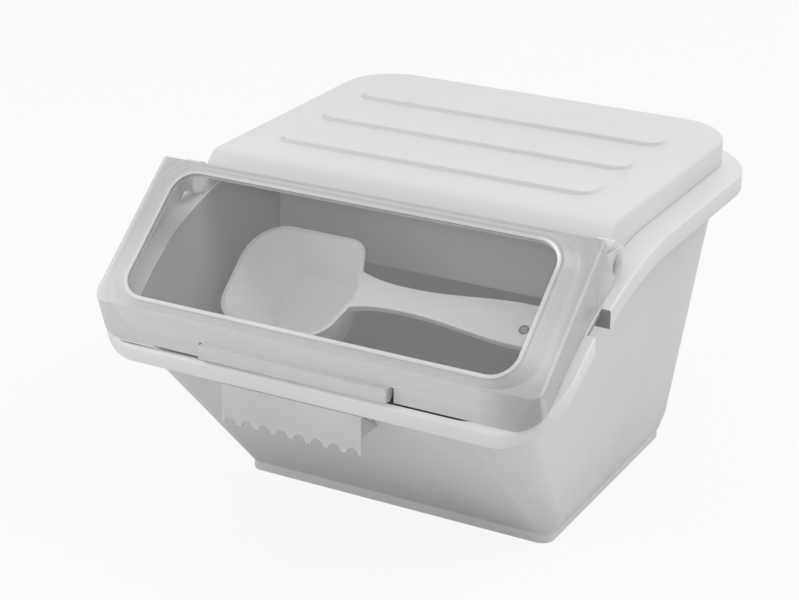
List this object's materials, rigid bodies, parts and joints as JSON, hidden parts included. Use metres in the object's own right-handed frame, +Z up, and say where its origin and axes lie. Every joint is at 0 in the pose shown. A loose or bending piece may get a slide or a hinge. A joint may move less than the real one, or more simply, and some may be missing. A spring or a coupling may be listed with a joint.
{
  "type": "flip-lid ingredient bin",
  "caption": "Shelf ingredient bin with a sloped front, a raised-ribbed lift-off rear lid, a clear flip-up front door and a scoop resting inside.",
  "frame": {"origin": "under the middle of the bin's outer box, on the plane of the foot", "axes": "+X to the right seen from the front, +Y to the rear (the sloped front faces -Y), +Z up"},
  "size_m": [0.292, 0.317, 0.2046],
  "materials": {
    "tub": "satin white polypropylene",
    "lid": "satin white polypropylene",
    "guard": "satin white polypropylene",
    "clear": "clear moulded plastic",
    "pins": "translucent nylon",
    "scoop": "satin white plastic",
    "label": "satin white plastic"
  },
  "bodies": {
    "tub": {"tub": "tub", "label_plate": "label"},
    "lid": {"rear_lid": "lid", "inner_guard": "guard", "hinge_pins": "pins"},
    "door": {"flip_door": "clear"},
    "scoop": {"scoop": "scoop"}
  },
  "joints": [
    {"name": "lid_lift", "type": "slide", "parent": "tub", "child": "lid", "axis": [0, 0, 1], "range_m": [0, 0.12]},
    {"name": "door_hinge", "type": "hinge", "parent": "lid", "child": "door", "pos_m": [0, -0.0625, 0.186], "axis": [-1, 0, 0], "range_deg": [0, 90]},
    {"name": "scoop_lift", "type": "slide", "parent": "tub", "child": "scoop", "axis": [0, -0.6428, 0.766], "range_m": [0, 0.05]}
  ]
}
